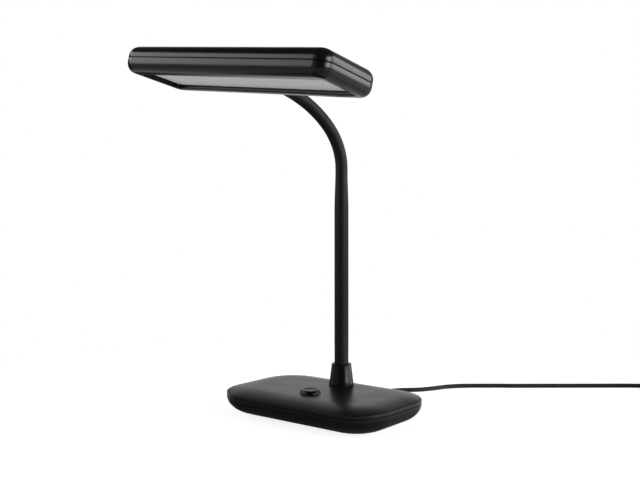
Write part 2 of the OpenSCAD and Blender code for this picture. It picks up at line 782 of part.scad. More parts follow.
module board_screws() color(steel) for (sx = [-1, 1]) at_switch()
    translate([sx * board_screw_x, 0, board_top - board_thick - 1.2])
        screw(4.6, 1.2, board_screw_d, board_thick + 4.4);

// ---------- cord ----------

module strain_relief() color(soft_black) translate([0, 0, cord_exit_z]) rotate([-90, 0, 0]) {
    // drawn along +Z here, which is +Y on the lamp
    inside = relief_flange_y;
    wall_y = base_dep / 2;
    neck = relief_neck_d / 2;
    flange = relief_flange_d / 2;
    tip = cord_d / 2 + 0.9;
    slope = (neck - tip) / boot_len;
    ribs = [for (i = [0 : 4]) wall_y + 3 + 3 * i];
    rotate_extrude($fn = 48) polygon(concat(
        [[0, inside - 1.8], [flange, inside - 1.8], [flange, inside], [neck, inside], [neck, wall_y]],
        [for (z = ribs, s = [[0, 0], [0, -0.6], [1.2, -0.6], [1.2, 0]])
            [neck - slope * (z + s[0] - wall_y) + s[1], z + s[0]]],
        [[tip, boot_end_y], [0, boot_end_y]]));
}

module at_cord() {
    translate([0, boot_end_y, 0]) children();
}

module power_cord() color(soft_black) at_cord() tube(cord_run, cord_d, cord_sides);

module power_cord_coil() color(soft_black) at_cord()
    translate([coil_centre[0], coil_centre[1], coil_height / 2])
        rotate_extrude($fn = round_fn) translate([coil_r, 0]) polygon([
            for (q = [0 : 3], i = [0 : 3])
                let (sx = (q == 0 || q == 3) ? 1 : -1, sz = q < 2 ? 1 : -1, a = 90 * q + 30 * i)
                [sx * (coil_width / 2 - coil_round) + coil_round * cos(a),
                 sz * (coil_height / 2 - coil_round) + coil_round * sin(a)]]);

module power_cord_tail() color(soft_black) at_cord() tube(cord_tail, cord_d, cord_sides);

// Plug frame: the cord enters at the origin and the plug points along +Z
module at_plug() {
    last = cord_tail[len(cord_tail) - 1];
    before = cord_tail[len(cord_tail) - 2];
    heading = atan2(last[1] - before[1], last[0] - before[0]);
    at_cord() translate([last[0], last[1], plug_body[1] / 2])
        rotate([0, 0, heading - 90]) rotate([-90, 0, 0]) children();
}

module plug_housing() color(soft_black) at_plug() difference() {
    tail = cord_d / 2 + 0.9;
    union() {
        block(plug_body[0], plug_body[1], plug_round, plug_tail_len, plug_front);
        // ribbed tail
        rotate_extrude($fn = 48) polygon(concat(
            [[0, 0], [tail, 0]],
            [for (z = [1.5 : 2.5 : plug_tail_len - 2], s = [[0, 0], [0, -0.6], [1, -0.6], [1, 0]])
                [tail + 0.05 * z + s[1], z + s[0]]],
            [[tail + 0.05 * plug_tail_len, plug_tail_len], [0, plug_tail_len]]));
    }
    block(plug_shell_size[0] + 2 * fit_gap, plug_shell_size[1] + 2 * fit_gap, 0.5,
          plug_shell_foot, plug_front + 1);
    // grip grooves on both broad faces
    for (z = [plug_tail_len + 4 : 2.4 : plug_tail_len + 12], side = [-1, 1])
        box([plug_body[0] - 5, 0.8, 1], [0, side * plug_body[1] / 2, z]);
}

module plug_shell() color(steel) at_plug() {
    z1 = plug_shell_foot + plug_shell_size[2];
    difference() {
        block(plug_shell_size[0], plug_shell_size[1], 0.5, plug_shell_foot, z1);
        block(plug_shell_size[0] - 2 * plug_shell_wall, plug_shell_size[1] - 2 * plug_shell_wall, 0.3,
              plug_shell_foot + 0.6, z1 + 1);
        for (x = [-2.6, 2.6]) box([2.2, 10, 2.2], [x, 0, plug_shell_foot + 13]);
    }
}

// The tongue lies against one broad wall of the shell
module plug_tongue() color(white) at_plug()
    box([plug_shell_size[0] - 2 * plug_shell_wall - 0.2, plug_tongue_thick, plug_shell_size[2] - 1.6],
        [0, plug_shell_size[1] / 2 - plug_shell_wall - plug_tongue_thick / 2,
         plug_shell_foot + 0.6 + (plug_shell_size[2] - 1.6) / 2]);

module plug_contacts() color("#d9b45b") at_plug()
    for (x = [-3.6, -1.2, 1.2, 3.6])
        box([1.2, 0.2, 8], [x, plug_shell_size[1] / 2 - plug_shell_wall - plug_tongue_thick - 0.1,
                            plug_front + 6]);

// ---------- what is drawn ----------

base_lower_shell();
base_top_cover();
base_weight();
weight_screws();
base_screws();
base_pad();
neck_ferrule();
stem_tube();
stem_washer();
stem_nut();
stem_sleeve();
neck_core_root();
switch_bezel();
switch_body();
driver_board();
board_parts();
board_screws();
switch_button();
switch_plunger();
for (k = [1 : neck_hinges - 1]) {
    neck_core(k);
    neck_sleeve(k);
}
neck_core_end();
neck_sleeve_end();
neck_end_fitting();
neck_end_nut();
head_top_shell();
head_bottom_shell();
head_diffuser();
reflector_tray();
led_board();
led_chips();
carrier_plate();
carrier_screws();
strain_relief();
power_cord();
power_cord_coil();
power_cord_tail();
plug_housing();
plug_shell();
plug_tongue();
plug_contacts();
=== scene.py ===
"""Gooseneck desk lamp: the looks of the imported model.

Lengths in the named values are millimetres, as in the part's source, and MM turns them into metres.
"""
import json
import math

import bmesh
import bpy
from mathutils import Matrix, Vector


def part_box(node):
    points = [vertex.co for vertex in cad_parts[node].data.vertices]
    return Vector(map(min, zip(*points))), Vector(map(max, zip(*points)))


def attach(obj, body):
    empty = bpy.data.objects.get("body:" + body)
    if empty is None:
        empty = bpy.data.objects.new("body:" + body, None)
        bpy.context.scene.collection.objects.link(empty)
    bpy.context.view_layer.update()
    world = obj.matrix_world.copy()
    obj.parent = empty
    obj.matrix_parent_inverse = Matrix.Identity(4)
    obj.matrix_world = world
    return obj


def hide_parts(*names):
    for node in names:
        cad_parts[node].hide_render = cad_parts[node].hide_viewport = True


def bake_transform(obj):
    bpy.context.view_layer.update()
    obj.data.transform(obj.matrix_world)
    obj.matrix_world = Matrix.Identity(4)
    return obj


MM = 0.001

# ---------- camera ----------
CAMERA_PLACE = (494.6, -630.7, 197.8)
CAMERA_TURN = 38.25     # degrees about Z, from looking straight at the lamp's front
FOCAL_PIXELS = 859.22
SENSOR_WIDTH = 36
IMAGE_WIDTH = 640
IMAGE_HEIGHT = 480
HORIZON_ROW = 205.04    # the row of the picture that lies level with the camera

# ---------- studio ----------
FLOOR_R = 0.5           # metres
FLOOR_EDGE = (0.6, 0.97)  # the lit floor turns plain white between these parts of its radius
FLOOR_SIDES = 96
FLOOR_COLOUR = 0.28
FLOOR_GLOW = 0.82       # what the floor adds as a white background
# Reflections see a painted shadow of the base on the floor, fading out over these distances
GLOW_FADE = (-10, 60)   # distances from the base's outline over which reflections see that
WORLD_FADE = (0.3, 0.68)  # heights of the direction between which the world darkens
SKY_LEVEL = 0.08        # what is left of the world's light overhead
TOP_PLACE = (0.1, 0.1, 2.2)  # the light overhead, in metres, square and aimed at the base
TOP_SIZE = 2
TOP_POWER = 8
# Panels and dark cards lie in the world and are given by direction. Their Z is the direction's own.
PANEL_AHEAD = 0.2       # they fade out over this much of the direction, and so have no twin behind
PANELS = [              # azimuth, half width in degrees, lowest and highest Z, softness, strength
    (-143, 27, 0.0, 0.54, 0.06, 6.7),
    (0, 14, -0.1, 0.26, 0.08, 20),
    (32, 34, -0.1, 0.44, 0.08, 9)]
SIDE_CARDS = [          # azimuth, then distance, half width, lowest and highest Z in mm, strength
    (-143, 330, 260, 0, 220, 1.2),
    (24, 330, 330, 52, 230, 1.6)]
DARK_CARDS = [          # azimuth, half width, lowest and highest Z, softness, how dark
    (-52, 30, -0.3, 0.8, 0.15, 1),
    (172, 32, -0.4, 0.28, 0.06, 1),
    (92, 20, -0.4, 0.5, 0.1, 0.6)]
# Stretches of painted shade on the floor, which only reflections see
PAINTED_SHADE_FLOORS = [         # X from and to, Y from and to, softness
    (-420, 60, -420, -40, 60),
    (-420, -90, 0, 240, 50)]
PAINTED_SHADE_LEVEL = 0.85       # how much of the white those floors take away
PAINTED_SHADE_TINT = 0.5         # and how much of the lit floor

# ---------- cord ----------
CORD_D = 4.5
CORD_ROUNDING = 5       # steps of the curve, along it and round it
CORD_ROUTE = [          # from the tip of the strain relief: X, Y from there, Z from the table
    (0, 0, 10), (0, 8, 9.6), (-1, 16, 8), (-3, 24, 5.6), (-5, 32, 3.5), (-6, 40, 2.4),
    (-6, 48, 2.3), (-2, 56, 2.3), (5, 63, 2.3), (12, 70, 2.3), (18, 79, 2.3), (23, 89, 2.3),
    (27, 99, 2.3), (33, 109, 2.3), (41, 118, 2.3), (50, 126, 2.3), (60, 134, 2.3), (70, 142, 2.3),
    (80, 149, 2.3), (90, 157, 2.3), (100, 165, 2.3), (110, 173, 2.3), (120, 181, 2.3),
    (130, 189, 2.3), (140, 197, 2.3), (150, 205, 2.3), (160, 213, 2.3), (170, 221, 2.3),
    (180, 229, 2.3), (190, 236, 2.3), (200, 244, 2.3)]
COIL_CENTRE = (237, 230)
COIL_OUT = 33           # radius of the outermost turns
COIL_IN = 18.5          # radius of the innermost turns
COIL_START = 128        # degrees, where the cord runs into the coil
LAYER_TURNS = 3.05      # turns in each of the two layers
CLIMB_TURNS = 0.25      # the part of a turn over which the cord climbs to the second layer
COIL_STEP_IN = 1        # the second layer ends this much further in than the first began
TURN_POINTS = 20
TIE_ROOM = 0.6          # the coil lies this far above the table, on its tie
TIE_AT = 45             # degrees round the coil
TIE_GAPS = (0.35, 0.3)  # from the bundle's outside to the band's middle, sideways and upwards
# The band's section, by how far along the bundle and how far outwards: flat, over a wire in its middle.
TIE_SECTION = ((-1.3, -0.18), (-1.3, 0.18), (-0.5, 0.3), (0.5, 0.3), (1.3, 0.18), (1.3, -0.18))
TIE_CORNER_POINTS = 10
TIE_END_R = 0.55
TIE_TWIST_R = 0.75      # the two ends wind round each other at this radius
TIE_TWISTS = 4.5
TIE_REACH = (0.6, 8)    # where the twisted ends start outside the band, and their length
TIE_DROP = 3.7          # how far they sink towards the table
TIE_SWING = 3           # and how far they turn aside
TIE_END_STEPS = 32
CORD_TAIL = [(269, 214, 6), (268.5, 204, 3.8), (268, 195, 2.5), (268, 185, 2.7), (268, 176, 4)]

# ---------- shells ----------
BASE_CORNER = 38
BASE_SEAM_Z = 18.5
BASE_HEIGHT = 25.7
BASE_EDGE = 2.6         # upright edge of the cover above the seam
BASE_FOOT_Z = 1         # the pad stands this far below the lower shell
PAD_POCKET = (30.9, 2)  # inset and top of the pad's pocket
DISH_INSET = 28
FOOT_LAND = 0.6         # flat strip at the dish's foot
DOME_INSET = 26
DOME_FULLNESS = 2.3     # power of the dome's profile: a higher one rises sooner from the edge
DOME_EDGE = (1, 74)     # radius of the small round at the cover's edge, and how far it turns in degrees
BASE_WALL = 2.4
SEAT_GAP = 0.3          # the flat seat reaches this far beyond the ferrule's foot
SEAT_DEPTH = 1          # and this far below the cover's wall
SEAT_EDGE = 0.1         # its chamfer
BARREL_R = 8.2          # hole in the cover for the switch's bezel
BORE_CUT = (-8, 4)      # heights between which that hole is cut, from the cover's top
BEZEL_BORE_R = 7.1
BEZEL_RISE = 3.2
BEZEL_LAND = 1          # width of the bezel's rim
BEZEL_EDGES = (0.5, 0.25)  # radii outside and inside that rim
BEZEL_LEAN = 35         # degrees by which its cone leans inwards where it meets the rim
BEZEL_FOOT = (0.1, 0.3)  # chamfer and height of its upright foot
BUTTON_R = 6.8
BUTTON_EDGE = 0.5
BUTTON_FLANGE = 1.2     # thickness of the flange that holds the button in
BUTTON_DISH = ((1, 0.02), (1.4, 0.1), (1.9, 0.22), (2.6, 0.32), (3.6, 0.41), (5, 0.47))  # inset, depth
BUTTON_DEPTH = 0.5      # of the dish in its middle
FERRULE_HEIGHT = 20.3
FERRULE_TOP_R = 9.55
FERRULE_FLARE = (0.4, 2.2)  # how far the foot stands out, and its height
FERRULE_LIP = 1.1       # height of the foot's upright edge
FERRULE_EDGES = (0.25, 0.4, 0.5)  # chamfer of the foot, radius outside and inside the rim
FLARE_START = (0.05, 0.2)  # first point of the flare, inwards and up from the foot's edge
FLARE_END = (0.08, 0.25)  # and its last, outwards and down from where the cone starts
CONE_END = (0.1, 1.1)   # the cone ends this far inwards and down from the rim
CONE_STEPS = 8
RIM_START = (0.02, 0.95)  # first point of the rim's round, likewise
FLANGE = (8.6, 2.1)     # radius and height of the pocket for the stem's flange
RELIEF_LENGTH = 20      # of the strain relief outside the base
RELIEF_R = (4, 3.15)    # at the base's wall and at the tip
RELIEF_FLANGE = (0.2, 1.8)  # chamfer and thickness of its flange inside the wall
RELIEF_TIP = ((0, 0.5), (0.2, 0.1), (0.5, 0))  # rounding of the tip: inset, distance from the end
RELIEF_RIBS = 5
RIB_PITCH = 3
RIB_START = 0.4         # the plain stretch at the wall ends this far before the first groove
RIB = ((0, -0.2), (0.15, 0), (0.6, 0.15), (0.6, 1.1), (0.2, 1.25), (0.05, 1.4))  # depth, place of a groove
HEAD_CORNER = 12.6
HEAD_TOP = (12, 9.5)    # inset and height of the rounding of the top
HEAD_LOW = (7.8, 9.5)   # the same for the underside
HEAD_WALL = 2.2
HEAD_ROOT_Z = -3        # foot of the lower shell's tongue
WINDOW_CORNER = 4
WINDOW_RECESS = 4
WINDOW_WALL = 2.5       # thickness of the wall round the window
DIFFUSER_OVERLAP = 2.4
LIP = (1.2, 1.3)        # width and depth of the step round the window
LIP_EDGE = 0.3          # rounding of that step
SEAM_GAP = 0.6
TONGUE_RISE = 1.8       # how far the tongue stands above the seam
TONGUE_ROOT = 4
TONGUE_THICK = 1.3
TONGUE_EDGE = 0.2
FIT_GAP = 0.1
EDGE_BREAK = 0.25       # rounding of the shells' edges at the seams
EDGE_LAND = 0.2         # flat strip kept beside a small rounding
QUARTER_ROUND = ((0, 1), (0.1, 0.55), (0.3, 0.3), (0.55, 0.1), (1, 0))  # by parts of its radius
ROUND_MIDDLE = 0.3      # the middle point of a smaller one, by parts of its radius
POLE_R = 0.02           # a turned piece without a bore ends in a flat this small round its axis

# ---------- neck ----------
STEM_SLEEVE_R = 6.75
NECK_SLEEVE_R = 5.85
SLEEVE_BORE_R = 4.3
CORE_R = 4
STEM_FOOT_Z = 27.9
STEM_TAPER = (193, 230)  # heights between which the sleeve narrows
STEM_STEPS = 12
BEND_STEPS = 12         # along the stretch over one hinge
NECK_RUN_IN = 2         # the last stretch runs this far into the head's wall
CORE_SIDES = 20
NECK_HINGES = ("neck_bend_1", "neck_sway_1", "neck_bend_2", "neck_bend_3", "neck_sway_2",
               "neck_bend_4", "head_tilt_1", "head_tilt_2")

CORNER_POINTS = 18      # round a quarter of a shell's plan
ROUND_POINTS = 48       # round a tube
TURNED_POINTS = 96      # round a turned piece
EDGE_CROWDING = 1.6     # power that draws an edge's points together where the edge is upright
SHARP_ANGLE = 35        # shading breaks at edges sharper than this

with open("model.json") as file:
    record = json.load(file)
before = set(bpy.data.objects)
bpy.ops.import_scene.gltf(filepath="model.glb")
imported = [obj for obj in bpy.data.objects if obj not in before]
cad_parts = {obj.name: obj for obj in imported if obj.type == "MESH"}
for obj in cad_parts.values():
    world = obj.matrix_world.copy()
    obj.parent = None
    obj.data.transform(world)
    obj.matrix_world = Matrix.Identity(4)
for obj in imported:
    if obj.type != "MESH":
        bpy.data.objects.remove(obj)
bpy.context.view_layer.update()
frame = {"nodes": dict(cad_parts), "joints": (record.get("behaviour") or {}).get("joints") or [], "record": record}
nodes = frame["nodes"]


# ---------- small helpers ----------

def mesh_piece(name, points, faces, material, smooth=True):
    """A mesh object from points in metres."""
    mesh = bpy.data.meshes.new(name)
    mesh.from_pydata([tuple(p) for p in points], [], faces)
    mesh.validate()
    piece = bpy.data.objects.new(name, mesh)
    bpy.context.scene.collection.objects.link(piece)
    mesh.materials.append(material)
    for polygon in mesh.polygons:
        polygon.use_smooth = smooth
    work = bmesh.new()
    work.from_mesh(mesh)
    bmesh.ops.recalc_face_normals(work, faces=work.faces)
    work.to_mesh(mesh)
    work.free()
    return piece


def loft(name, rings, material, closed=False, place=Matrix.Identity(4)):
    """A skin over rings that have as many points each, in millimetres, with its ends filled."""
    count = len(rings[0])
    points = [place @ (Vector(p) * MM) for ring in rings for p in ring]
    last = len(rings) if closed else len(rings) - 1
    faces = []
    for i in range(last):
        a, b = i * count, (i + 1) % len(rings) * count
        for k in range(count):
            m = (k + 1) % count
            faces.append((a + k, a + m, b + m, b + k))
    if not closed:
        faces.append(tuple(range(count)))
        faces.append(tuple((len(rings) - 1) * count + k for k in range(count)))
    return mesh_piece(name, points, faces, material)


def sharpen(piece):
    """Smooth shading that breaks at sharp edges."""
    mesh = piece.data
    work = bmesh.new()
    work.from_mesh(mesh)
    for edge in work.edges:
        edge.smooth = edge.calc_face_angle(0) < math.radians(SHARP_ANGLE)
    work.to_mesh(mesh)
    work.free()


def tube(name, path, radius, material, bore=None, sides=ROUND_POINTS):
    """A round tube along a path in millimetres; with a bore it is hollow."""
    rings = []
    for i, p in enumerate(path):
        way = (path[min(i + 1, len(path) - 1)] - path[max(i - 1, 0)]).normalized()
        across = Vector((1, 0, 0)) - way.x * way
        across.normalize()
        up = way.cross(across)
        rings.append([(p, math.cos(math.tau * k / sides) * across + math.sin(math.tau * k / sides) * up)
                      for k in range(sides)])
    skin = [[p + radius * d for p, d in ring] for ring in rings]
    if bore is None:
        piece = loft(name, skin, material)
    else:
        piece = loft(name, skin + [[p + bore * d for p, d in ring] for ring in reversed(rings)],
                     material, closed=True)
    sharpen(piece)
    return piece


def combine(piece, tool, operation):
    """Cuts the tool out of the piece, or joins it on, and deletes the tool."""
    modifier = piece.modifiers.new("combine", "BOOLEAN")
    modifier.operation = operation
    modifier.object = tool
    bpy.context.view_layer.update()
    evaluated = piece.evaluated_get(bpy.context.evaluated_depsgraph_get())
    mesh = bpy.data.meshes.new_from_object(evaluated)
    piece.modifiers.clear()
    piece.data = mesh
    bpy.data.objects.remove(tool)


def finish_piece(piece, body, slot, *replaced):
    """Says which body the piece moves with and hides the nodes it stands for; slot is not used."""
    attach(piece, body)
    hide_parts(*replaced)


def turned(name, outline, material, place, closed=True, sides=TURNED_POINTS):
    """A piece turned about its own Z axis from (radius, height) points, put at a place."""
    rings = [[(r * math.cos(math.tau * k / sides), r * math.sin(math.tau * k / sides), z)
              for k in range(sides)] for r, z in outline]
    piece = loft(name, rings, material, closed=closed, place=place)
    sharpen(piece)
    return piece


def upright_at(node):
    """The place on the table under the middle of a node."""
    low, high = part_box(node)
    return Matrix.Translation(((low.x + high.x) / 2, (low.y + high.y) / 2, 0))


def arc(centre, radius, start, end, steps=5):
    """Points of an arc between two angles in degrees."""
    angles = [math.radians(start + (end - start) * i / steps) for i in range(steps + 1)]
    return [(centre[0] + radius * math.cos(a), centre[1] + radius * math.sin(a)) for a in angles]


def plan_ring(x, y, corner, z, centre=(0, 0)):
    """A rounded rectangle at height z."""
    points = []
    for quarter, (sx, sy) in enumerate(((1, 1), (-1, 1), (-1, -1), (1, -1))):
        for i in range(CORNER_POINTS):
            a = math.radians(90 * (quarter + i / (CORNER_POINTS - 1)))
            points.append((centre[0] + sx * (x / 2 - corner) + corner * math.cos(a),
                           centre[1] + sy * (y / 2 - corner) + corner * math.sin(a), z))
    return points


def shell_rings(x, y, corner, profile):
    """Rings of a rounded plan, one for each (inset from the outline, height)."""
    return [plan_ring(x - 2 * i, y - 2 * i, corner - i, z) for i, z in profile]


def quarter(steps):
    """Angles from 0 to 90 degrees, closer together near 0."""
    return [math.pi / 2 * (i / steps) ** EDGE_CROWDING for i in range(steps + 1)]


def rounded_up(inset, rise, z, steps):
    """Profile of an edge that starts upright and curves in to a flat top."""
    return [(inset * (1 - math.cos(t)), z + rise * math.sin(t)) for t in quarter(steps)]


def rounded_down(inset, rise, z, steps):
    """Profile of an edge that starts flat at height z and curves out until it is upright."""
    return [(inset * (1 - math.cos(t)), z + rise * (1 - math.sin(t))) for t in reversed(quarter(steps))]


# ---------- materials ----------

class Nodes:
    """Short forms for building one material's nodes; its textures lie in object coordinates."""

    def __init__(self, name, rough, ior=1.5):
        self.material = bpy.data.materials.new(name)
        self.material.use_nodes = True
        self.tree = self.material.node_tree
        self.shader = self.tree.nodes["Principled BSDF"]
        self.shader.inputs["IOR"].default_value = ior
        self.shader.inputs["Roughness"].default_value = rough
        self.place = self.tree.nodes.new("ShaderNodeTexCoord").outputs["Object"]

    def link(self, out, name):
        self.tree.links.new(out, self.shader.inputs[name])

    def noise(self, scale, detail=2, stretch=(1, 1, 1)):
        """Noise whose features are about 1 / scale metres."""
        node = self.tree.nodes.new("ShaderNodeTexNoise")
        node.inputs["Scale"].default_value = scale
        node.inputs["Detail"].default_value = detail
        source = self.place
        if stretch != (1, 1, 1):
            mapping = self.tree.nodes.new("ShaderNodeMapping")
            mapping.inputs["Scale"].default_value = stretch
            self.tree.links.new(source, mapping.inputs["Vector"])
            source = mapping.outputs["Vector"]
        self.tree.links.new(source, node.inputs["Vector"])
        return node.outputs["Fac"]

    def ramp(self, fac, stops):
        """A colour ramp from (position, colour) stops; a colour may be one number."""
        node = self.tree.nodes.new("ShaderNodeValToRGB")
        ramp = node.color_ramp
        while len(ramp.elements) < len(stops):
            ramp.elements.new(0.5)
        for element, (position, colour) in zip(ramp.elements, stops):
            element.position = position
            c = (colour,) * 3 if isinstance(colour, (int, float)) else colour
            element.color = (*c, 1)
        self.tree.links.new(fac, node.inputs["Fac"])
        return node.outputs["Color"]

    def bump(self, height, distance):
        """Bump from a height between 0 and 1, distance in metres."""
        node = self.tree.nodes.new("ShaderNodeBump")
        node.inputs["Distance"].default_value = distance
        self.tree.links.new(height, node.inputs["Height"])
        self.link(node.outputs["Normal"], "Normal")


def tint(colour, factor):
    """The colour, lighter or darker by a factor."""
    return tuple(min(1, c * factor) for c in colour)


def moulded(name, colour, rough, grain=2600, depth=0.000004, spread=0.05, ior=1.5, mottle=0.12):
    """Moulded plastic: a fine spark-eroded grain and slow changes of gloss."""
    m = Nodes(name, rough, ior)
    m.link(m.ramp(m.noise(grain / 4), [(0.3, tint(colour, 1 - mottle)), (0.7, tint(colour, 1 + mottle))]),
           "Base Color")
    m.link(m.ramp(m.noise(38, detail=4), [(0.3, rough - spread), (0.7, rough + spread)]), "Roughness")
    m.bump(m.noise(grain, detail=3), depth)
    return m.material


def metal(name, colour, rough, stretch=(1, 1, 1)):
    """Plated or drawn metal with fine marks."""
    scale = 900
    m = Nodes(name, rough)
    m.shader.inputs["Metallic"].default_value = 1
    m.link(m.ramp(m.noise(scale, 3, stretch), [(0.25, tint(colour, 0.82)), (0.75, colour)]), "Base Color")
    m.link(m.ramp(m.noise(scale / 2, 3, stretch), [(0.3, rough * 0.75), (0.7, rough * 1.3)]), "Roughness")
    m.bump(m.noise(scale * 2, 2, stretch), 0.000006)
    return m.material


def soft_skin(name, colour, rough, sheen):
    """Silicone or rubber: matt, with a dusty sheen."""
    m = Nodes(name, rough, 1.15)
    m.shader.inputs["Sheen Weight"].default_value = sheen
    m.shader.inputs["Sheen Roughness"].default_value = 0.4
    m.link(m.ramp(m.noise(300, 4), [(0.3, tint(colour, 0.85)), (0.7, tint(colour, 1.15))]), "Base Color")
    m.link(m.ramp(m.noise(60, 3), [(0.3, rough - 0.05), (0.7, rough + 0.05)]), "Roughness")
    m.bump(m.noise(1800, 2), 0.000004)
    return m.material


def make_materials():
    """One material for each slot, also put on every node of the CAD, and ring_gloss for the switch's ring."""
    table = {
        "shell_black": moulded("shell_black", (0.0022, 0.0022, 0.0023), 0.22, spread=0.03, ior=1.22),
        "base_black": moulded("base_black", (0.0035, 0.0035, 0.0036), 0.31, spread=0.03, ior=1.21),
        "button_black": moulded("button_black", (0.003, 0.003, 0.0031), 0.34, ior=1.22),
        "trim_black": moulded("trim_black", (0.0025, 0.0025, 0.0026), 0.17, grain=900, depth=0.000003,
                              spread=0.02, ior=1.155),
        "ring_gloss": moulded("ring_gloss", (0.002, 0.002, 0.0021), 0.11, grain=900, depth=0.000002,
                              spread=0.02, ior=1.29),
        "silicone_black": soft_skin("silicone_black", (0.0035, 0.0035, 0.0036), 0.5, 0.0),
        "rubber_black": soft_skin("rubber_black", (0.012, 0.012, 0.012), 0.7, 0.1),
        "cord_black": soft_skin("cord_black", (0.014, 0.014, 0.0145), 0.45, 0.03),
        "plug_black": moulded("plug_black", (0.015, 0.015, 0.016), 0.5),
        "ballast": moulded("ballast", (0.045, 0.045, 0.047), 0.6, grain=700, depth=0.0002),
        "zinc_steel": metal("zinc_steel", (0.62, 0.63, 0.65), 0.28),
        "steel": metal("steel", (0.5, 0.5, 0.51), 0.32, stretch=(1, 1, 0.05)),
        "diffuser_opal": moulded("diffuser_opal", (0.7, 0.7, 0.693), 0.5, grain=800, depth=0.000001,
                                 mottle=0.02),
        "white_plastic": moulded("white_plastic", (0.82, 0.82, 0.8), 0.4),
        "led_board_white": moulded("led_board_white", (0.78, 0.8, 0.77), 0.35),
        "led_yellow": moulded("led_yellow", (0.8, 0.62, 0.12), 0.2),
        "plate_aluminium": metal("plate_aluminium", (0.75, 0.76, 0.78), 0.35, stretch=(0.05, 1, 1)),
        "board_green": moulded("board_green", (0.02, 0.16, 0.06), 0.3),
        "component_grey": moulded("component_grey", (0.1, 0.1, 0.115), 0.45),
        "component_black": moulded("component_black", (0.025, 0.025, 0.028), 0.4),
        "contact_gold": metal("contact_gold", (0.83, 0.62, 0.25), 0.2),
    }
    for entry in frame["record"]["subparts"]:
        for slot in nodes[entry["node"]].material_slots:
            slot.material = table[entry["material_slot"]]
    return table


# ---------- camera and studio ----------

def make_camera():
    """The photo's camera: level, so that the lamp's uprights stay parallel, and shifted down."""
    data = bpy.data.cameras.new("camera")
    data.sensor_fit = "HORIZONTAL"
    data.sensor_width = SENSOR_WIDTH
    data.lens = SENSOR_WIDTH * FOCAL_PIXELS / IMAGE_WIDTH
    data.shift_y = (HORIZON_ROW - IMAGE_HEIGHT / 2) / IMAGE_WIDTH
    data.clip_start = 0.01
    camera = bpy.data.objects.new("camera", data)
    camera.location = Vector(CAMERA_PLACE) * MM
    camera.rotation_euler = (math.radians(90), 0, math.radians(CAMERA_TURN))
    bpy.context.scene.collection.objects.link(camera)
    bpy.context.scene.camera = camera


def math_node(tree, operation, a, b=None):
    """The result of a Math node; a and b are sockets or numbers."""
    node = tree.nodes.new("ShaderNodeMath")
    node.operation = operation
    for value, socket in zip((a, b), node.inputs):
        if isinstance(value, (int, float)):
            socket.default_value = value
        elif value is not None:
            tree.links.new(value, socket)
    return node.outputs[0]


def product(tree, first, *others):
    """All the values multiplied; the first one is a socket."""
    for value in others:
        first = math_node(tree, "MULTIPLY", first, value)
    return first


def vector_node(tree, operation, a, b=None):
    """A Vector Math node; a is a socket and b a vector."""
    node = tree.nodes.new("ShaderNodeVectorMath")
    node.operation = operation
    tree.links.new(a, node.inputs[0])
    if b is not None:
        node.inputs[1].default_value = b
    return node


def split_vector(tree, vector):
    """The outputs X, Y and Z of a vector."""
    node = tree.nodes.new("ShaderNodeSeparateXYZ")
    tree.links.new(vector, node.inputs["Vector"])
    return node.outputs


def smooth_step(tree, value, start, end):
    """0 before start and 1 after end, with a soft rise between them."""
    node = tree.nodes.new("ShaderNodeMapRange")
    node.interpolation_type = "SMOOTHSTEP"
    node.inputs["From Min"].default_value = start
    node.inputs["From Max"].default_value = end
    tree.links.new(value, node.inputs["Value"])
    return node.outputs["Result"]


def soft_band(tree, value, low, high, soft):
    """1 between low and high and 0 outside, with soft ends."""
    return product(tree, smooth_step(tree, value, low - soft, low + soft),
                   smooth_step(tree, value, high + soft, high - soft))


def mix_shaders(tree, factor, first, second):
    """The first shader where the factor is 0, and the second where it is 1."""
    node = tree.nodes.new("ShaderNodeMixShader")
    for source, socket in zip((factor, first, second), node.inputs):
        tree.links.new(source, socket)
    return node.outputs[0]


def outside_base(tree, place):
    """0 under the base and 1 beyond its outline, from the distance to the outline: where reflections see the
    base's painted shadow.
    """
    low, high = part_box("base_top_cover")
    half = (high - low) / 2
    corner = BASE_CORNER * MM
    absolute = vector_node(tree, "ABSOLUTE", place).outputs[0]
    shifted = vector_node(tree, "SUBTRACT", absolute, (half.x - corner, half.y - corner, 0)).outputs[0]
    beyond = vector_node(tree, "MAXIMUM", shifted, (0, 0, 0)).outputs[0]
    distance = vector_node(tree, "LENGTH", beyond).outputs["Value"]
    near, far = (v * MM for v in GLOW_FADE)
    return smooth_step(tree, distance, corner + near, corner + far)


def dark_floor(tree, place, stretch):
    """1 on a stretch of floor with painted shade, which only reflections see, and 0 away from it."""
    x0, x1, y0, y1, soft = (v * MM for v in stretch)
    return product(tree, soft_band(tree, place["X"], x0, x1, soft), soft_band(tree, place["Y"], y0, y1, soft))


